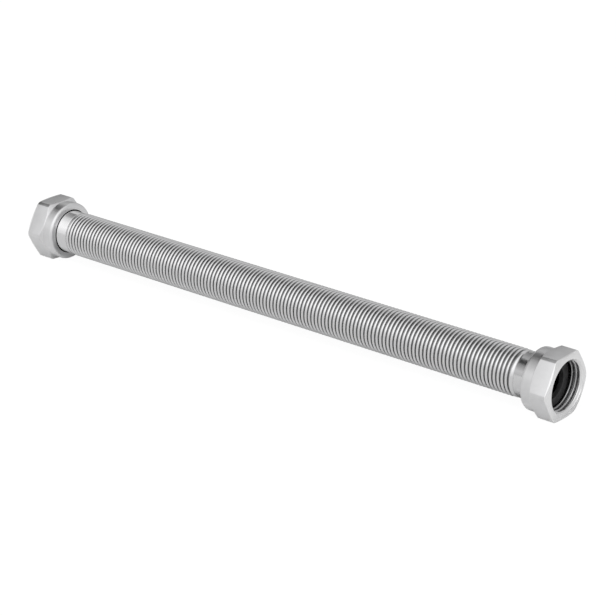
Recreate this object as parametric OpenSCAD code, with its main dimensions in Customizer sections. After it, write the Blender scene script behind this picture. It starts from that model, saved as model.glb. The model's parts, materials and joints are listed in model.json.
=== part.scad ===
// Stainless flexible water hose with a loose union nut and a flat gasket at each end.
// The hose lies along X on a flat of each nut. X = 0 is the middle of the hose, Z = 0 the surface.

/* [Hose] */
// Length of the formed tube, from sealing face to sealing face
hose_len = 242; // [150:1:600]
// Least length of each plain end, from the corrugations to the sealing face
plain_end = 11; // [10:0.5:30]
// Distance from one crest to the next
pitch = 1.69; // [1.5:0.01:2.2]
// Diameter over the crests
crest_d = 17.9; // [17.8:0.1:19.2]
// Depth of a groove below the crests
groove_depth = 1.35; // [1.2:0.05:1.8]
// Width of a groove between its two walls
groove_w = 0.6; // [0.5:0.05:0.7]
// Thickness of the tube's wall
wall = 0.3; // [0.2:0.02:0.34]
// Diameter of the smooth neck at each end
neck_d = 17.4; // [16.9:0.1:17.5]
// Height above the neck of the low bump where the corrugations end
bump_rise = 0.1; // [0.05:0.05:0.15]
// Length of the flat on top of that bump
bump_w = 0.5; // [0.2:0.1:1]
// Depth below the neck of the shallow groove between bump and neck
dip_depth = 0.2; // [0.15:0.05:0.35]
// Radius of that groove's round bottom
dip_r = 0.7; // [0.6:0.05:1]
// Inner diameter of the sealing lip
lip_d = 15; // [13:0.5:16]

/* [Union nut] */
// Distance across the flats of the hexagon
across_flats = 24; // [24:0.5:30]
// Height that is turned off each corner of the hexagon
corner_cut = 0.2; // [0.05:0.05:0.4]
// Length of the nut
nut_len = 12.6; // [11:0.1:16]
// Thickness of the nut's bottom, which pulls on the flange
nut_bottom = 4.25; // [3.5:0.25:5]
// Diameter of the round collar behind the hexagon
collar_d = 23.7; // [23:0.1:23.8]
// Length of the round collar
collar_len = 4.5; // [3:0.1:4.8]
// Radius of the collar's outer edge
collar_round = 1.8; // [0.4:0.1:2]
// Diameter at which the mouth's chamfer starts on the corners
mouth_d = 24.9; // [24.4:0.1:26]
// Angle of the chamfers on the hexagon's corners
chamfer_angle = 30; // [20:1:40]
// Major diameter of the female pipe thread
thread_d = 20.955; // [20.9:0.005:21]
// Pitch of the thread
thread_pitch = 1.814; // [1.7:0.001:1.9]
// Depth of the relief groove round the gasket, below the roots of the thread
relief_depth = 0.12; // [0.05:0.01:0.3]
// Depth of the chamfer where the thread opens at the mouth
mouth_bevel = 0.5; // [0.3:0.05:1.1]
// Depth of the chamfer at the back hole
hole_chamfer = 0.2; // [0.1:0.05:0.3]

/* [Gasket] */
// Inner diameter of the gasket
gasket_id = 12; // [9:0.5:14]
// Thickness of the gasket
gasket_t = 2; // [1.5:0.1:2.5]

/* [Fits] */
// Radial gap between the neck and the nut's back hole
neck_gap = 0.3; // [0.15:0.05:0.35]
// Gap between the nut's bottom and the back of the flange
nut_play = 0.15; // [0.1:0.05:0.6]
// Radial gap between the flange and the crests of the thread
flange_gap = 0.06; // [0.05:0.01:0.12]
// Radial gap between the gasket and the crests of the thread
gasket_gap = 0.1; // [0.05:0.05:0.3]
// Distance that the relief groove runs past the gasket's outer face
relief_past = 0.25; // [0.1:0.05:0.5]

/* [Hidden] */
axis_z = across_flats / 2;
corrugated_len = hose_len - 2 * plain_end;
// Whole corrugations on either side of the middle one
side_count = floor((corrugated_len / pitch - 1) / 2);
// Outer radii of the bends over a crest and in a groove, between walls that stand straight
groove_r = groove_w / 2;
crest_r = pitch / 2 - groove_r;
crest_center = crest_d / 2 - crest_r;
groove_center = crest_d / 2 - groove_depth + groove_r;
last_groove = (side_count + 0.5) * pitch;
bump_d = neck_d + 2 * bump_rise;
dip_d = neck_d - 2 * dip_depth;
bump_center = bump_d / 2 - crest_r;
bump_start = last_groove + groove_r + crest_r;
bump_end = bump_start + bump_w;
// The shallow groove's round bottom meets the top of the bump where the bump's flat ends
bump_drop = bump_rise + dip_depth;
dip_x = bump_end + sqrt(dip_r * dip_r - (dip_r - bump_drop) * (dip_r - bump_drop));
seal_x = hose_len / 2;
flange_back = seal_x - 2 * wall;
// The thread's crests lie on its minor diameter, five eighths of a sharp 55 degree vee in
thread_minor_d = thread_d - 2 * 0.640327 * thread_pitch;
flange_d = thread_minor_d - 2 * flange_gap;
gasket_od = thread_minor_d - 2 * gasket_gap;
hole_d = neck_d + 2 * neck_gap;
nut_back = flange_back - nut_play - nut_bottom;
relief_d = thread_d + 2 * relief_depth;
relief_end = seal_x + gasket_t + relief_past - nut_back;
corner_d = across_flats / cos(30);
body_d = corner_d - 2 * corner_cut;
chamfer_slope = tan(chamfer_angle);
mouth_chamfer = (body_d - mouth_d) / 2 * chamfer_slope;
collar_chamfer = (body_d - collar_d) / 2 * chamfer_slope;
bevel_d = thread_minor_d + 2 * mouth_bevel;
// Added where a cut runs past the metal
past = 1;
round_fn = 72;
bend_fn = 24;
steel = [0.8, 0.8, 0.81];
nut_metal = [0.76, 0.76, 0.77];
rubber = [0.1, 0.1, 0.1];

// Turns a shape made round Z so that it lies along X at the height of the hose's axis
module lay_along_x() {
    translate([0, 0, axis_z]) rotate([0, 90, 0]) children();
}

// Wall bent round a centre, over the half plane away from the axis or the one towards it
module half_bend(center, along, outer_r, outwards) {
    translate([center, along]) intersection() {
        difference() {
            circle(r = outer_r, $fn = bend_fn);
            circle(r = outer_r - wall, $fn = bend_fn);
        }
        translate([outwards ? 0 : -2 * outer_r, -2 * outer_r]) square([2 * outer_r, 4 * outer_r]);
    }
}

// Straight wall that stands out from the axis, with its outer side at the given place
module side_wall(along, from_r, to_r) {
    translate([from_r, along]) square([to_r - from_r, wall]);
}

// Crest with the groove after it, at a place along the hose
module corrugation(along) {
    half_bend(crest_center, along, crest_r, true);
    side_wall(along - crest_r, groove_center, crest_center);
    side_wall(along + crest_r - wall, groove_center, crest_center);
    half_bend(groove_center, along + pitch / 2, groove_r + wall, false);
}

// Row of corrugations, joined half by half
module corrugations(first, last) {
    if (first == last) {
        corrugation(first * pitch);
    } else {
        middle = floor((first + last) / 2);
        corrugations(first, middle);
        corrugations(middle + 1, last);
    }
}

// Band between two radii, from one place along the hose to another
module band(from_r, to_r, from, to) {
    translate([from_r, from]) square([to_r - from_r, to - from]);
}

// Body of the low bump and the neck, down to the wall's inside where inset is its thickness
module run_out_body(inset) {
    intersection() {
        translate([bump_center, bump_start]) circle(r = crest_r - inset, $fn = bend_fn);
        band(bump_center, bump_d / 2, last_groove, bump_start);
    }
    band(groove_center, bump_center, last_groove + groove_r + inset, bump_start);
    difference() {
        union() {
            band(groove_center, bump_d / 2 - inset, bump_start, dip_x);
            band(groove_center, neck_d / 2 - inset, dip_x, seal_x);
        }
        translate([dip_d / 2 + dip_r, dip_x]) circle(r = dip_r + inset, $fn = bend_fn);
    }
}

// The wall folded out at the end, and back in on itself as a sealing lip
module flange() {
    band(neck_d / 2 - wall, flange_d / 2 - wall, flange_back, seal_x);
    translate([flange_d / 2 - wall, flange_back + wall]) circle(r = wall, $fn = bend_fn);
    band(lip_d / 2, flange_d / 2 - wall, seal_x - wall, seal_x);
}

// Low bump, shallow groove, neck and flange after the last deep groove
module hose_end() {
    difference() {
        run_out_body(0);
        run_out_body(wall);
    }
    flange();
}

// One thin tube of stainless steel
module corrugated_hose() {
    color(steel) lay_along_x() rotate_extrude($fn = round_fn) {
        half_bend(groove_center, -last_groove, groove_r + wall, false);
        corrugations(-side_count, side_count);
        hose_end();
        mirror([0, 1]) hose_end();
    }
}

// Outline of the nut turned round its axis: collar, chamfers, and body up to the turned corners
module nut_outline() {
    translate([0, collar_round]) square([collar_d / 2, nut_len - collar_round]);
    square([collar_d / 2 - collar_round, nut_len]);
    translate([collar_d / 2 - collar_round, collar_round]) circle(r = collar_round, $fn = bend_fn);
    polygon([
        [0, collar_len],
        [collar_d / 2, collar_len],
        [body_d / 2, collar_len + collar_chamfer],
        [body_d / 2, nut_len - mouth_chamfer],
        [mouth_d / 2, nut_len],
        [0, nut_len],
    ]);
}

// Hexagonal union nut, open towards +X, with its thread cut down to the crests
module union_nut() {
    color(nut_metal) lay_along_x() translate([0, 0, nut_back]) difference() {
        intersection() {
            rotate_extrude($fn = round_fn) nut_outline();
            rotate([0, 0, 30]) cylinder(h = nut_len, d = corner_d, $fn = 6);
        }
        translate([0, 0, -past]) cylinder(h = nut_len, d = hole_d, $fn = round_fn);
        translate([0, 0, nut_bottom]) cylinder(h = nut_len, d = thread_minor_d, $fn = round_fn);
        translate([0, 0, nut_bottom])
            cylinder(h = relief_end - nut_bottom, d = relief_d, $fn = round_fn);
        translate([0, 0, nut_len - mouth_bevel])
            cylinder(h = mouth_bevel, d1 = thread_minor_d, d2 = bevel_d, $fn = round_fn);
        cylinder(h = hole_chamfer, d1 = hole_d + 2 * hole_chamfer, d2 = hole_d, $fn = round_fn);
    }
}

// Flat rubber ring that lies on the sealing face inside the nut
module gasket() {
    color(rubber) lay_along_x() translate([0, 0, seal_x]) difference() {
        cylinder(h = gasket_t, d = gasket_od, $fn = round_fn);
        translate([0, 0, -past]) cylinder(h = gasket_t + 2 * past, d = gasket_id, $fn = round_fn);
    }
}

module union_nut_right() {
    union_nut();
}

module union_nut_left() {
    mirror([1, 0, 0]) union_nut();
}

module gasket_right() {
    gasket();
}

module gasket_left() {
    mirror([1, 0, 0]) gasket();
}

corrugated_hose();
union_nut_left();
union_nut_right();
gasket_left();
gasket_right();
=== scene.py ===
import json
import math

import bpy
import numpy as np
from mathutils import Matrix, Vector


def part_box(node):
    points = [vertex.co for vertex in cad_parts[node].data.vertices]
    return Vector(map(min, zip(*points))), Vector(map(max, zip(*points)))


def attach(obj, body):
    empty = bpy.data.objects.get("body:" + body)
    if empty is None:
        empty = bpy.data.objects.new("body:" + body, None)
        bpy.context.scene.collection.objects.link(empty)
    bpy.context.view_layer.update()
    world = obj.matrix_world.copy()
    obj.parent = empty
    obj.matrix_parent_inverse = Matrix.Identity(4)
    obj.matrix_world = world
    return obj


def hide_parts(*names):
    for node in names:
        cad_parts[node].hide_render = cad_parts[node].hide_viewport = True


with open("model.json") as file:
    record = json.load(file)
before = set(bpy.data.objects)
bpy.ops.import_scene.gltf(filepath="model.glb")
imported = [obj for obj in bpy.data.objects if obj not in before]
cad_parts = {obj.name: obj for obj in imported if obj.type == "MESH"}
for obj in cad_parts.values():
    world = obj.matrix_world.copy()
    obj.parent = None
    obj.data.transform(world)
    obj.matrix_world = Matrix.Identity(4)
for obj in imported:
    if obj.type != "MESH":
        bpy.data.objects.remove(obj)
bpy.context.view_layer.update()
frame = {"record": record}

# Metres in a millimetre. Every size below is in millimetres, and so is every mesh until it is made.
MM = 0.001


def node_box(node):
    """Lowest and highest corner of a solid, in millimetres."""
    low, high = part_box(node)
    return np.array(low) / MM, np.array(high) / MM


_, hose_high = node_box("corrugated_hose")
nut_low, nut_high = node_box("union_nut_right")
gasket_low, gasket_high = node_box("gasket_right")
mounts = {m["name"]: m for m in frame["record"]["mounts"]}

# The hose's common axis, and where the right end's pieces begin and end along it
AXIS_Z = (nut_low[2] + nut_high[2]) / 2
SEAL_X = hose_high[0]
NUT_BACK = nut_low[0]
NUT_LEN = nut_high[0] - nut_low[0]
ACROSS_FLATS = nut_high[2] - nut_low[2]
THREAD_MINOR_R = mounts["thread_right"]["dims"]["r_mm"]

# Tube
PITCH = 1.69
SIDE_COUNT = 64
CREST_TOP_R = 8.95
CREST_BEND_R = 0.545
GROOVE_BEND_R = 0.3
GROOVE_DEPTH = 1.35
WALL = 0.3
NECK_R = 8.7
BUMP_R = 8.8
BUMP_FLAT = 0.5
DIP_BOTTOM_R = 8.5
DIP_BEND_R = 0.7
LIP_R = 7.5
FLANGE_GAP = 0.06
NECK_FILLET = 0.12
LIP_EDGE = 0.1
SLIT_RELIEF = 0.1
SLIT_TAPER = 0.8
HOSE_COLUMNS = 44

# Middles of the bends, and where the corrugations end along the right half of the tube
CREST_MIDDLE_R = CREST_TOP_R - CREST_BEND_R
GROOVE_MIDDLE_R = CREST_TOP_R - GROOVE_DEPTH + GROOVE_BEND_R
LAST_GROOVE = (SIDE_COUNT + 0.5) * PITCH
BUMP_START = LAST_GROOVE + GROOVE_BEND_R + CREST_BEND_R

# Union nut
NUT_BOTTOM = 4.25
COLLAR_R = 11.85
COLLAR_LEN = 4.5
COLLAR_ROUND = 1.8
MOUTH_FLAT_R = 10.6
MOUTH_DROP = 0.9
MOUTH_CURVE = 1.3
MOUTH_OPENING_R = 10.3
CHAMFER_ANGLE = math.radians(30)
HOLE_R = 9.0
HOLE_CHAMFER = 0.2
THREAD_MAJOR_R = 10.4775
THREAD_PITCH = 1.814
THREAD_START = 0.4
MOUTH_BEVEL = 1.0
RELIEF_R = 10.5975
RELIEF_PAST = 0.25
TURNED_R = 13.47
CORNER_ROUND = 0.6
EDGE_ROUND = 0.14
STEP_ROUND = 0.1
HOLE_ROUND = 0.06
BORE_EDGE = 0.06
RELIEF_ROUND = 0.02
# Rounding of each ring of the domed mouth face, from the hexagon's edge in
MOUTH_ROUNDS = (EDGE_ROUND, 2, 2, 2, 1)
SHARP_ANGLE = math.radians(50)
FLAT_COLUMNS = 13
CORNER_COLUMNS = 4
EDGE_STEPS = 5
THREAD_ROWS = 110

# Gasket
GASKET_THICK = gasket_high[0] - gasket_low[0]
GASKET_GAP = 0.1
GASKET_HOLE_R = 6.0
GASKET_ROUND = 0.25
GASKET_COLUMNS = 96

# Camera, at the photograph's angle
CAMERA_AZIMUTH = math.radians(39.173)
CAMERA_ELEVATION = math.radians(22.79)
CAMERA_DISTANCE = 826.9
CAMERA_TARGET = (11.12, 0.0, 10.95)
SENSOR = 36.0
IMAGE_SIZE = 616
FOCAL_PIXELS = 2162.3


def make_camera():
    """Camera on a ball round its target, held level."""
    a, e = CAMERA_AZIMUTH, CAMERA_ELEVATION
    back = Vector((math.sin(a) * math.cos(e), -math.cos(a) * math.cos(e), math.sin(e)))
    right = Vector((math.cos(a), math.sin(a), 0))
    up = back.cross(right)
    data = bpy.data.cameras.new("camera")
    data.sensor_width = SENSOR
    data.lens = FOCAL_PIXELS * SENSOR / IMAGE_SIZE
    data.clip_start = 0.01
    data.clip_end = 50
    camera = bpy.data.objects.new("camera", data)
    place = (Vector(CAMERA_TARGET) + back * CAMERA_DISTANCE) * MM
    turn = Matrix((right, up, back)).transposed().to_4x4()
    camera.matrix_world = Matrix.Translation(place) @ turn
    bpy.context.scene.collection.objects.link(camera)
    bpy.context.scene.camera = camera


def closed_mesh(name, points):
    """Mesh from a grid of places points[row, column], joined up both ways round, so that it has no
    edge. The sum of the corners' triple products gives its volume's sign, which turns the faces
    outward."""
    rows, columns = points.shape[:2]
    here = np.arange(rows * columns).reshape(rows, columns)
    right = np.roll(here, -1, axis=1)
    above = np.roll(here, -1, axis=0)
    beyond = np.roll(right, -1, axis=0)
    quads = np.stack([here, right, beyond, above], axis=-1).reshape(-1, 4)
    places = points.reshape(-1, 3) * MM
    a, b, c, d = (places[quads[:, k]] for k in range(4))
    volume = np.einsum("ij,ij->", a, np.cross(b, c)) + np.einsum("ij,ij->", a, np.cross(c, d))
    if volume < 0:
        quads = quads[:, ::-1]
    mesh = bpy.data.meshes.new(name)
    mesh.vertices.add(len(places))
    mesh.vertices.foreach_set("co", places.astype(np.float32).ravel())
    mesh.loops.add(quads.size)
    mesh.loops.foreach_set("vertex_index", quads.astype(np.int32).ravel())
    mesh.polygons.add(len(quads))
    mesh.polygons.foreach_set("loop_start", np.arange(0, quads.size, 4, dtype=np.int32))
    mesh.update(calc_edges=True)
    mesh.shade_smooth()
    return mesh


def full_turn(columns):
    """Angles of columns that stand evenly round the axis."""
    return np.arange(columns) * 2 * np.pi / columns


def round_the_axis(along, radius, angle):
    """Places at a distance along the hose, a radius from its axis and an angle round it, which is
    right-handed about +X: y = radius * cos(angle), z = axis + radius * sin(angle)."""
    along, radius, angle = np.broadcast_arrays(along, radius, angle)
    return np.stack([along, radius * np.cos(angle), AXIS_Z + radius * np.sin(angle)], axis=-1)


def arc(center, radius, start, end, steps):
    """Points on a circle from one angle to another, in degrees: center + radius * (cos, sin)."""
    turn = np.radians(np.linspace(start, end, steps))
    return np.stack([center[0] + radius * np.cos(turn), center[1] + radius * np.sin(turn)], axis=-1)


# Largest part of a side that a rounded corner may cut away
LARGEST_CUT = 0.45


def rounded(corners, radii, steps):
    """Profile with each corner replaced by a parabola between its two sides. A corner cuts back its
    sides by radius * tan(half the turn), and by no more than LARGEST_CUT of the shorter one.
    Corners are [corner, column, 2], and so the answer is [corner * steps, column, 2]."""
    before = np.roll(corners, 1, axis=0) - corners
    after = np.roll(corners, -1, axis=0) - corners
    before_len = np.linalg.norm(before, axis=-1, keepdims=True)
    after_len = np.linalg.norm(after, axis=-1, keepdims=True)
    before, after = before / before_len, after / after_len
    bend = np.arccos(np.clip(-(before * after).sum(-1, keepdims=True), -1, 1))
    cut = np.asarray(radii)[:, None, None] * np.tan(bend / 2)
    cut = np.minimum(cut, LARGEST_CUT * np.minimum(before_len, after_len))
    first, last = corners + before * cut, corners + after * cut
    w = np.linspace(0, 1, steps)[None, :, None, None]
    curve = (
        (1 - w) ** 2 * first[:, None] + 2 * w * (1 - w) * corners[:, None] + w**2 * last[:, None]
    )
    return curve.reshape(-1, *corners.shape[1:])


def groove_bend(along):
    """Round bottom of a groove at a place along the hose, as (along, radius)."""
    return arc((along, GROOVE_MIDDLE_R), GROOVE_BEND_R, 180, 360, steps=4)


def repeated(ring, numbers):
    """A ring's section once for each number, which counts pitches from the hose's middle."""
    shift = np.stack([numbers * PITCH, np.zeros(len(numbers))], axis=-1)
    return (shift[:, None] + ring).reshape(-1, 2)


def outer_wall():
    """Outside of all rings from left to right. Each is a half circle over the crest and a half
    circle under the groove after it."""
    crest = arc((0, CREST_MIDDLE_R), CREST_BEND_R, 180, 0, steps=7)
    ring = np.concatenate([crest, groove_bend(PITCH / 2)])
    return repeated(ring, np.arange(-SIDE_COUNT, SIDE_COUNT + 1))


def run_out():
    """Outside of the right end after the last groove: bump, shallow groove, neck and flange."""
    bump_end = BUMP_START + BUMP_FLAT
    drop = BUMP_R - DIP_BOTTOM_R
    rise = NECK_R - DIP_BOTTOM_R
    dip_x = bump_end + math.sqrt(DIP_BEND_R**2 - (DIP_BEND_R - drop) ** 2)
    dip_middle = (dip_x, DIP_BOTTOM_R + DIP_BEND_R)
    up_to = math.degrees(math.asin((DIP_BEND_R - rise) / DIP_BEND_R))
    down_from = math.degrees(math.asin((DIP_BEND_R - drop) / DIP_BEND_R))
    flange_r = THREAD_MINOR_R - FLANGE_GAP
    flange_back = SEAL_X - 2 * WALL
    return np.concatenate(
        [
            arc((BUMP_START, BUMP_R - CREST_BEND_R), CREST_BEND_R, 180, 90, steps=5),
            [(bump_end, BUMP_R)],
            arc(dip_middle, DIP_BEND_R, 180 + down_from, 360 - up_to, steps=8)[1:],
            [(flange_back - NECK_FILLET, NECK_R), (flange_back, NECK_R + NECK_FILLET)],
            arc((flange_back + WALL, flange_r - WALL), WALL, 180, 0, steps=9),
            [(SEAL_X, LIP_R + LIP_EDGE), (SEAL_X - LIP_EDGE, LIP_R), (SEAL_X - WALL, LIP_R)],
        ]
    )


def inner_run_out():
    """Inside of the right end, from behind the sealing lip back to the last groove."""
    bump_end = BUMP_START + BUMP_FLAT
    return np.array(
        [
            (SEAL_X - WALL, NECK_R - WALL),
            (bump_end + 2 * DIP_BEND_R, NECK_R - WALL),
            (bump_end + DIP_BEND_R, DIP_BOTTOM_R - WALL),
            (bump_end, BUMP_R - WALL),
            (BUMP_START, BUMP_R - WALL),
            (LAST_GROOVE + GROOVE_BEND_R + WALL, BUMP_R - CREST_BEND_R),
        ]
    )


def inner_wall():
    """Inside of the rings from the right groove to the left one: a slit up into each crest, and a
    round inward bend under each groove."""
    half_slit = SLIT_TAPER * (CREST_BEND_R - WALL)
    slit_top = CREST_TOP_R - WALL - SLIT_RELIEF

    def under(along):
        return arc((along, GROOVE_MIDDLE_R), GROOVE_BEND_R + WALL, 315, 225, steps=3)

    ring = np.concatenate([under(PITCH / 2), [(half_slit, slit_top), (-half_slit, slit_top)]])
    rings = repeated(ring, np.arange(SIDE_COUNT, -SIDE_COUNT - 1, -1))
    return np.concatenate([rings, under(-LAST_GROOVE)])


def make_hose():
    """One tube: its wall's whole section, turned round the axis."""
    flip = np.array([-1.0, 1.0])
    section = np.concatenate(
        [
            groove_bend(-LAST_GROOVE),
            outer_wall(),
            run_out(),
            inner_run_out(),
            inner_wall(),
            inner_run_out()[::-1] * flip,
            run_out()[::-1] * flip,
        ]
    )
    points = round_the_axis(section[:, 0:1], section[:, 1:2], full_turn(HOSE_COLUMNS))
    return bpy.data.objects.new("hose_tube", closed_mesh("hose_tube", points))


def hexagon():
    """Outline of the hexagon with its corners turned off, as the angles and radii of its points. A
    turned corner reaches 30 degrees - acos(half the flats / turned radius) to each side of its
    middle."""
    reach = math.radians(30) - math.acos(ACROSS_FLATS / 2 / TURNED_R)
    angle = (np.radians(60) * np.arange(6)[:, None] + np.array([-reach, reach])).ravel()
    corners = TURNED_R * np.stack([np.cos(angle), np.sin(angle)], axis=-1)
    sixths = rounded(corners[:, None, :], [CORNER_ROUND] * 12, steps=CORNER_COLUMNS)
    sixths = sixths.reshape(6, 2 * CORNER_COLUMNS, 2)
    last, first = sixths[:, -1:], np.roll(sixths, -1, axis=0)[:, :1]
    share = np.linspace(0, 1, FLAT_COLUMNS + 2)[None, 1:-1, None]
    outline = np.concatenate([sixths, last + share * (first - last)], axis=1).reshape(-1, 2)
    return np.arctan2(outline[:, 1], outline[:, 0]), np.hypot(outline[:, 0], outline[:, 1])


def threaded_bore(along, angle, mouth_sign):
    """Radius of the bore at a distance from the nut's back. The thread is right-handed in both
    nuts: its phase is x / pitch - angle / 360 degrees - start, with x along +X. A cosine between
    crest and root has flanks of about 26 degrees. The mouth's bevel, which opens in a straight line
    to MOUTH_OPENING_R, cuts its crests away."""
    x = mouth_sign * (NUT_BACK + along)
    phase = x / THREAD_PITCH - angle / (2 * np.pi) - THREAD_START
    depth = THREAD_MAJOR_R - THREAD_MINOR_R
    thread = THREAD_MINOR_R + depth * (0.5 - 0.5 * np.cos(2 * np.pi * phase))
    opened = 1 - (NUT_LEN - along) / MOUTH_BEVEL
    bevel = THREAD_MINOR_R + (MOUTH_OPENING_R - THREAD_MINOR_R) * opened
    return np.maximum(thread, bevel)


def mouth_face(radius):
    """Rings of the domed mouth face, from the hexagon's edge in to where it is flat, as
    [ring, column, 2]. With s = (r - MOUTH_FLAT_R) / (TURNED_R - MOUTH_FLAT_R), it drops by
    MOUTH_DROP * s ** MOUTH_CURVE."""
    share = np.linspace(1, 0, len(MOUTH_ROUNDS))[:, None]
    out = MOUTH_FLAT_R + share * (radius - MOUTH_FLAT_R)
    drop = MOUTH_DROP * ((out - MOUTH_FLAT_R) / (TURNED_R - MOUTH_FLAT_R)) ** MOUTH_CURVE
    return np.stack([NUT_LEN - drop, out], axis=-1)


def make_nut(side, mouth_sign):
    """Union nut: a section carried round the hexagon's outline. Chamfer and dome meet the flats in
    true curves, because each column starts them at its own radius. A threaded bore closes it."""
    angle, radius = hexagon()
    relief_end = SEAL_X + GASKET_THICK + RELIEF_PAST - NUT_BACK

    def ring(along, out):
        along, out, _ = np.broadcast_arrays(along, out, radius)
        return np.stack([along, out], axis=-1)

    # Each ring of the section's outside, with the radius that rounds it
    flat_start = COLLAR_LEN + (radius - COLLAR_R) * math.tan(CHAMFER_ANGLE)
    corners = [
        (ring(relief_end, RELIEF_R), RELIEF_ROUND),
        (ring(NUT_BOTTOM, RELIEF_R), STEP_ROUND),
        (ring(NUT_BOTTOM, HOLE_R), STEP_ROUND),
        (ring(HOLE_CHAMFER, HOLE_R), HOLE_ROUND),
        (ring(0, HOLE_R + HOLE_CHAMFER), HOLE_ROUND),
        (ring(0, COLLAR_R), COLLAR_ROUND),
        (ring(COLLAR_LEN, COLLAR_R), STEP_ROUND),
        (ring(flat_start, radius), EDGE_ROUND),
        *zip(mouth_face(radius), MOUTH_ROUNDS),
        (ring(NUT_LEN, threaded_bore(NUT_LEN, angle, mouth_sign)), BORE_EDGE),
    ]
    rings, radii = zip(*corners)
    section = rounded(np.stack(rings), radii, steps=EDGE_STEPS)
    share = np.linspace(0, 1, THREAD_ROWS)[1:-1, None]
    along = NUT_LEN - BORE_EDGE + share * (relief_end - NUT_LEN + BORE_EDGE)
    bore = threaded_bore(along, angle[None, :], mouth_sign)
    bore = np.stack([np.broadcast_to(along, bore.shape), bore], axis=-1)
    section = np.concatenate([section, bore])
    points = round_the_axis(
        mouth_sign * (NUT_BACK + section[..., 0]), section[..., 1], angle[None, :]
    )
    mesh = closed_mesh("nut_" + side, points)
    mesh.set_sharp_from_angle(angle=SHARP_ANGLE)
    return bpy.data.objects.new("nut_" + side, mesh)


def make_gasket(side, mouth_sign):
    """Flat rubber ring with its edges rounded, turned round the axis."""
    inner, outer = GASKET_HOLE_R, THREAD_MINOR_R - GASKET_GAP
    corners = np.array([(0, inner), (GASKET_THICK, inner), (GASKET_THICK, outer), (0, outer)])
    section = rounded(corners[:, None, :], [GASKET_ROUND] * 4, steps=EDGE_STEPS)
    points = round_the_axis(
        mouth_sign * (SEAL_X + section[..., 0]), section[..., 1], full_turn(GASKET_COLUMNS)
    )
    return bpy.data.objects.new("seal_" + side, closed_mesh("seal_" + side, points))


def new_material(name):
    """New material, its node tree and its shader."""
    material = bpy.data.materials.new(name)
    material.use_nodes = True
    tree = material.node_tree
    return material, tree, tree.nodes["Principled BSDF"]


def distance_from_axis(tree, coordinates):
    """Node whose value is the distance from the hose's axis, in metres."""
    move = tree.nodes.new("ShaderNodeVectorMath")
    move.operation = "SUBTRACT"
    move.inputs[1].default_value = (0, 0, AXIS_Z * MM)
    tree.links.new(coordinates, move.inputs[0])
    flatten = tree.nodes.new("ShaderNodeVectorMath")
    flatten.operation = "MULTIPLY"
    flatten.inputs[1].default_value = (0, 1, 1)
    tree.links.new(move.outputs[0], flatten.inputs[0])
    length = tree.nodes.new("ShaderNodeVectorMath")
    length.operation = "LENGTH"
    tree.links.new(flatten.outputs[0], length.inputs[0])
    return length.outputs["Value"]


def distance_from_middle(tree, coordinates):
    """Node whose value is the distance along the hose from its middle, in metres."""
    parts = tree.nodes.new("ShaderNodeSeparateXYZ")
    tree.links.new(coordinates, parts.inputs[0])
    return calculated(tree, "ABSOLUTE", parts.outputs["X"])


def calculated(tree, operation, first, second=None):
    """Node with one operation on one or two values, of which the second may be a plain number."""
    node = tree.nodes.new("ShaderNodeMath")
    node.operation = operation
    tree.links.new(first, node.inputs[0])
    if isinstance(second, float):
        node.inputs[1].default_value = second
    elif second is not None:
        tree.links.new(second, node.inputs[1])
    return node.outputs[0]


def mixed(tree, share, tone, other):
    """Colour that goes from one tone to another as the share goes to 1. The other is a plain grey
    or a colour from the tree."""
    mix = tree.nodes.new("ShaderNodeMix")
    mix.data_type = "RGBA"
    start, end = (s for s in mix.inputs if s.type == "RGBA")
    tree.links.new(share, mix.inputs["Factor"])
    tree.links.new(tone, start)
    if isinstance(other, float):
        end.default_value = (other, other, other, 1)
    else:
        tree.links.new(other, end)
    return next(s for s in mix.outputs if s.type == "RGBA")


def spread(tree, value, low, high, to_low, to_high):
    """Node that carries a value from one range to another, and stops at that one's ends."""
    node = tree.nodes.new("ShaderNodeMapRange")
    node.inputs["From Min"].default_value = low
    node.inputs["From Max"].default_value = high
    node.inputs["To Min"].default_value = to_low
    node.inputs["To Max"].default_value = to_high
    tree.links.new(value, node.inputs["Value"])
    return node.outputs["Result"]


def noise(tree, coordinates, per_metre, detail):
    """Noise over the object's own coordinates, with its spots per metre along each axis."""
    mapping = tree.nodes.new("ShaderNodeMapping")
    mapping.inputs["Scale"].default_value = per_metre
    tree.links.new(coordinates, mapping.inputs["Vector"])
    texture = tree.nodes.new("ShaderNodeTexNoise")
    texture.inputs["Scale"].default_value = 1
    texture.inputs["Detail"].default_value = detail
    tree.links.new(mapping.outputs["Vector"], texture.inputs["Vector"])
    return texture.outputs["Fac"]


# Blue of a ramp's greys, as a share of their red and green
GREY_BLUE = 1.005


def grey_ramp(tree, value, stops):
    """Colour ramp between greys; stops are (place, grey)."""
    ramp = tree.nodes.new("ShaderNodeValToRGB")
    points = ramp.color_ramp.elements
    while len(points) < len(stops):
        points.new(0.5)
    for point, (place, grey) in zip(points, stops):
        point.position = place
        point.color = (grey, grey, grey * GREY_BLUE, 1)
    tree.links.new(value, ramp.inputs["Fac"])
    return ramp.outputs["Color"]


def bump(tree, shader, height, distance, strength):
    """Bump from a noise's height, over a distance in metres."""
    node = tree.nodes.new("ShaderNodeBump")
    node.inputs["Distance"].default_value = distance
    node.inputs["Strength"].default_value = strength
    tree.links.new(height, node.inputs["Height"])
    tree.links.new(node.outputs["Normal"], shader.inputs["Normal"])


# Painted shade: near-black colour in the gap between neck and nut
GAP_SHADE_TONE = 0.015
# Distance by which a zone of colour reaches past the surface that it is meant for
ZONE_PAST = 0.1
# Values that a noise mostly stays between
NOISE_SPAN = (0.3, 0.7)

# Tube: greys from the bottom of a groove to the top of a crest, which paint shade into the grooves,
# and range of roughness
TUBE_SHADE_TONES = [(0.0, 0.4), (0.4, 0.53), (0.7, 0.76), (1.0, 0.8)]
TUBE_ROUGHNESS = (0.12, 0.18)


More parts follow.
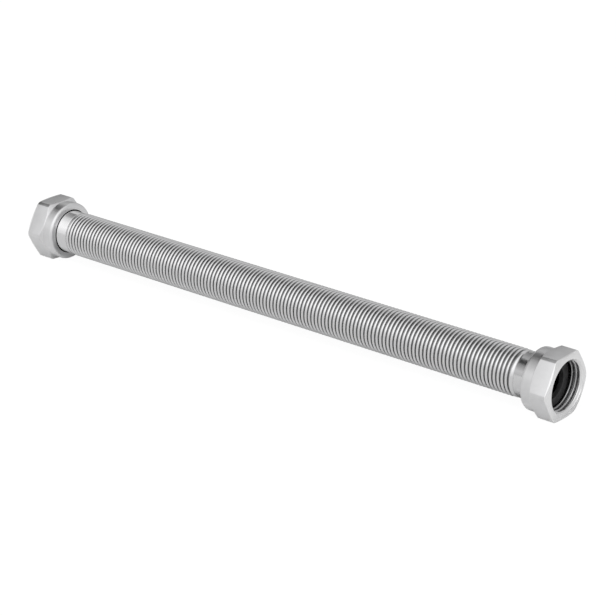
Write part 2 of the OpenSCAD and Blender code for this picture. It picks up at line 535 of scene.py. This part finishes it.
def tube_steel():
    """Formed stainless steel with painted shade: darker down in the grooves than on the crests, and
    near black inside the nuts. It has fine marks of the forming rolls that run round the tube."""
    material, tree, shader = new_material("tube_steel")
    place = tree.nodes.new("ShaderNodeTexCoord").outputs["Object"]
    radius = distance_from_axis(tree, place)
    # Painted shade: the deeper in a groove, the darker the grey.
    height = spread(tree, radius, (CREST_TOP_R - GROOVE_DEPTH) * MM, CREST_TOP_R * MM, 0, 1)
    tone = grey_ramp(tree, height, TUBE_SHADE_TONES)
    # Painted shade: the tube is near black inside the nuts.
    inside_nut = calculated(
        tree, "GREATER_THAN", distance_from_middle(tree, place), (NUT_BACK - ZONE_PAST) * MM
    )
    tree.links.new(mixed(tree, inside_nut, tone, GAP_SHADE_TONE), shader.inputs["Base Color"])
    shader.inputs["Metallic"].default_value = 1
    haze = noise(tree, place, (260, 150, 150), detail=3)
    roughness = spread(tree, haze, *NOISE_SPAN, *TUBE_ROUGHNESS)
    tree.links.new(roughness, shader.inputs["Roughness"])
    marks = noise(tree, place, (9000, 90, 90), detail=2)
    bump(tree, shader, marks, distance=0.00002, strength=0.35)
    return material


# Nut: range of its haze's greys and of its roughness
NUT_TONES = (0.76, 0.82)
NUT_ROUGHNESS = (0.27, 0.36)
# Share of painted black shade in the thread's colour, and how deep in the bore it is reached
BORE_DARKNESS = 0.45
BORE_DARK_DEPTH = 5
# Painted highlight: brighter metal at the mouth, which brightens its reflection, and how far back
# it reaches
MOUTH_HIGHLIGHT_TONE = 0.98
MOUTH_HIGHLIGHT_DEPTH = 1.0


def nut_steel():
    """Plated nut: satin metal with a faint cloudy haze and fine grain. The back hole is painted
    near black as shade, and painted shade darkens the thread towards the gasket."""
    material, tree, shader = new_material("nut_steel")
    place = tree.nodes.new("ShaderNodeTexCoord").outputs["Object"]
    haze = noise(tree, place, (220, 220, 220), detail=4)
    tone = grey_ramp(tree, haze, list(zip(NOISE_SPAN, NUT_TONES)))
    radius = distance_from_axis(tree, place)
    along = distance_from_middle(tree, place)
    mouth_x = NUT_BACK + NUT_LEN
    # Painted shade: the back hole is near black, and the thread darker deeper in the bore.
    in_hole = calculated(tree, "LESS_THAN", radius, (HOLE_R + HOLE_CHAMFER) * MM)
    by_radius = calculated(tree, "LESS_THAN", radius, (RELIEF_R + ZONE_PAST) * MM)
    bottom_x = NUT_BACK + NUT_BOTTOM - ZONE_PAST
    past_bottom = calculated(tree, "GREATER_THAN", along, bottom_x * MM)
    in_bore = calculated(tree, "MULTIPLY", by_radius, past_bottom)
    dark_x = mouth_x - BORE_DARK_DEPTH
    depth = spread(tree, along, mouth_x * MM, dark_x * MM, 0, BORE_DARKNESS)
    darkness = calculated(tree, "MAXIMUM", in_hole, calculated(tree, "MULTIPLY", in_bore, depth))
    # Painted highlight: the metal near the mouth is brighter, so its reflection is brighter.
    near_mouth = calculated(tree, "GREATER_THAN", along, (mouth_x - MOUTH_HIGHLIGHT_DEPTH) * MM)
    tone = mixed(tree, near_mouth, tone, MOUTH_HIGHLIGHT_TONE)
    tree.links.new(mixed(tree, darkness, tone, GAP_SHADE_TONE), shader.inputs["Base Color"])
    shader.inputs["Metallic"].default_value = 1
    roughness = spread(tree, haze, *NOISE_SPAN, *NUT_ROUGHNESS)
    tree.links.new(roughness, shader.inputs["Roughness"])
    grain = noise(tree, place, (3500, 3500, 3500), detail=2)
    bump(tree, shader, grain, distance=0.00002, strength=0.25)
    return material


# Gasket: range of its bloom's greys and of its roughness
RUBBER_TONES = (0.03, 0.05)
RUBBER_ROUGHNESS = (0.5, 0.65)


def seal_rubber():
    """Dark rubber with a dusty bloom and a fine grain."""
    material, tree, shader = new_material("seal_rubber")
    place = tree.nodes.new("ShaderNodeTexCoord").outputs["Object"]
    bloom = noise(tree, place, (500, 500, 500), detail=4)
    tone = grey_ramp(tree, bloom, list(zip(NOISE_SPAN, RUBBER_TONES)))
    tree.links.new(tone, shader.inputs["Base Color"])
    roughness = spread(tree, bloom, *NOISE_SPAN, *RUBBER_ROUGHNESS)
    tree.links.new(roughness, shader.inputs["Roughness"])
    grain = noise(tree, place, (2500, 2500, 2500), detail=3)
    bump(tree, shader, grain, distance=0.00004, strength=0.4)
    return material


# Background: its white, and how much of what the camera and what the metal's reflections see of
# floor and studio is that white
WHITE = 1.1
CAMERA_WHITE = 0.86
MIRROR_WHITE = 0.05
# Floor, in metres: how far it reaches and how far it lies below the object. Its paper is pale grey.
FLOOR_REACH = 6.0
FLOOR_DROP = 0.0001
PAPER = (0.7, 0.7, 0.7, 1)


def white_share(tree):
    """Share of plain white that a ray sees of the background: most for the camera, a little in
    reflections and through glass, and none for the light that falls on the object."""
    path = tree.nodes.new("ShaderNodeLightPath")
    mirrored = calculated(
        tree, "MAXIMUM", path.outputs["Is Glossy Ray"], path.outputs["Is Transmission Ray"]
    )
    by_mirror = spread(tree, mirrored, 0, 1, 0, MIRROR_WHITE)
    by_camera = spread(tree, path.outputs["Is Camera Ray"], 0, 1, 0, CAMERA_WHITE)
    return calculated(tree, "MAXIMUM", by_camera, by_mirror)


def add_white(tree, lit, white_kind, output):
    """Joins a lit shader and plain white by the ray's share, and links them to the output."""
    white = tree.nodes.new(white_kind)
    white.inputs["Color"].default_value = (1, 1, 1, 1)
    white.inputs["Strength"].default_value = WHITE
    mix = tree.nodes.new("ShaderNodeMixShader")
    tree.links.new(white_share(tree), mix.inputs[0])
    tree.links.new(lit.outputs[0], mix.inputs[1])
    tree.links.new(white.outputs[0], mix.inputs[2])
    tree.links.new(mix.outputs[0], tree.nodes[output].inputs["Surface"])


def make_floor():
    """Pale floor just under the nuts' flats. Most of what the camera sees of it is plain white, and
    the rest is lit, so it keeps the object's shadow. Reflections see more of the lit paper."""
    corners = np.array([(-1, -1), (1, -1), (1, 1), (-1, 1)]) * FLOOR_REACH
    mesh = bpy.data.meshes.new("floor")
    mesh.from_pydata([(x, y, -FLOOR_DROP) for x, y in corners], [], [(0, 1, 2, 3)])
    material = bpy.data.materials.new("floor_paper")
    material.use_nodes = True
    tree = material.node_tree
    tree.nodes.remove(tree.nodes["Principled BSDF"])
    paper = tree.nodes.new("ShaderNodeBsdfDiffuse")
    paper.inputs["Color"].default_value = PAPER
    add_white(tree, paper, "ShaderNodeEmission", "Material Output")
    mesh.materials.append(material)
    floor = bpy.data.objects.new("floor", mesh)
    bpy.context.scene.collection.objects.link(floor)


# Studio round the hose's axis: level of light against the angle in degrees, which is 0 level in
# front of the object, 90 overhead and 180 level behind it. Towards the hose's left end the roof
# between the front light and the back light is dark; towards its right end it is lit.
STUDIO_LEFT = [
    (-180, 0.5), (-90, 0.6), (0, 0.9), (34, 1.14), (48, 0.92), (70, 0.62), (88, 0.42), (93, 0.0),
    (122, 0.0), (125, 0.78), (140, 0.68), (154, 0.43), (180, 0.3),
]
STUDIO_RIGHT = [
    (-180, 0.6), (-90, 0.7), (0, 0.78), (15, 0.95), (34, 1.25), (57, 1.3), (80, 1.05), (108, 0.75),
    (124, 0.6), (145, 0.62), (165, 0.6), (180, 0.55),
]
# Part of the way from left to right over which the one gives way to the other
STUDIO_TURN = (-0.4, 0.1)
# Level of light at the far left, and where it is full
LEFT_END = (-0.8, 0.57)
FULL_END = (-0.3, 1.0)


def make_world():
    """Studio light in long strips parallel to the hose, dimmer towards its left end."""
    world = bpy.data.worlds.new("studio")
    bpy.context.scene.world = world
    world.use_nodes = True
    tree = world.node_tree
    way = tree.nodes.new("ShaderNodeTexCoord").outputs["Generated"]
    parts = tree.nodes.new("ShaderNodeSeparateXYZ")
    tree.links.new(way, parts.inputs[0])
    front = spread(tree, parts.outputs["Y"], -1, 1, 1, -1)
    angle = calculated(tree, "ARCTAN2", parts.outputs["Z"], front)
    turn = spread(tree, angle, -math.pi, math.pi, 0, 1)
    left, right = (
        grey_ramp(tree, turn, [((degrees + 180) / 360, level) for degrees, level in strips])
        for strips in (STUDIO_LEFT, STUDIO_RIGHT)
    )
    share = spread(tree, parts.outputs["X"], *STUDIO_TURN, 0, 1)
    (from_x, from_level), (to_x, to_level) = LEFT_END, FULL_END
    level = spread(tree, parts.outputs["X"], from_x, to_x, from_level, to_level)
    studio = tree.nodes["Background"]
    tree.links.new(mixed(tree, share, left, right), studio.inputs["Color"])
    tree.links.new(level, studio.inputs["Strength"])
    add_white(tree, studio, "ShaderNodeBackground", "World Output")


def softbox(name, direction, distance, width, height, power):
    """Rectangular lamp that faces the middle of the object from a direction. It lights dull
    surfaces and casts the shadow, and the strips of the studio do the reflections."""
    data = bpy.data.lights.new(name, "AREA")
    data.shape = "RECTANGLE"
    data.size = width
    data.size_y = height
    data.energy = power
    lamp = bpy.data.objects.new(name, data)
    way = Vector(direction).normalized()
    turn = way.to_track_quat("Z", "Y").to_matrix().to_4x4()
    lamp.matrix_world = Matrix.Translation(way * distance) @ turn
    lamp.visible_glossy = False
    bpy.context.scene.collection.objects.link(lamp)


def place(piece, body, slot, material, *nodes):
    """Puts a finished piece in the scene, on its body, for the solids that it stands for."""
    piece.data.materials.append(material)
    bpy.context.scene.collection.objects.link(piece)
    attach(piece, body)
    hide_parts(*nodes)


make_camera()
make_floor()
make_world()
softbox("front", (-0.1, -0.4, 0.9), distance=1.3, width=0.7, height=0.7, power=5.0)
bpy.context.scene.view_settings.view_transform = "Standard"

nut_finish, rubber_finish = nut_steel(), seal_rubber()
place(make_hose(), "hose", "stainless_tube", tube_steel(), "corrugated_hose")
for side, mouth_sign in (("right", 1), ("left", -1)):
    place(
        make_nut(side, mouth_sign), "nut_" + side, "nut_metal", nut_finish, "union_nut_" + side
    )
    place(
        make_gasket(side, mouth_sign), "hose", "gasket_rubber", rubber_finish, "gasket_" + side
    )
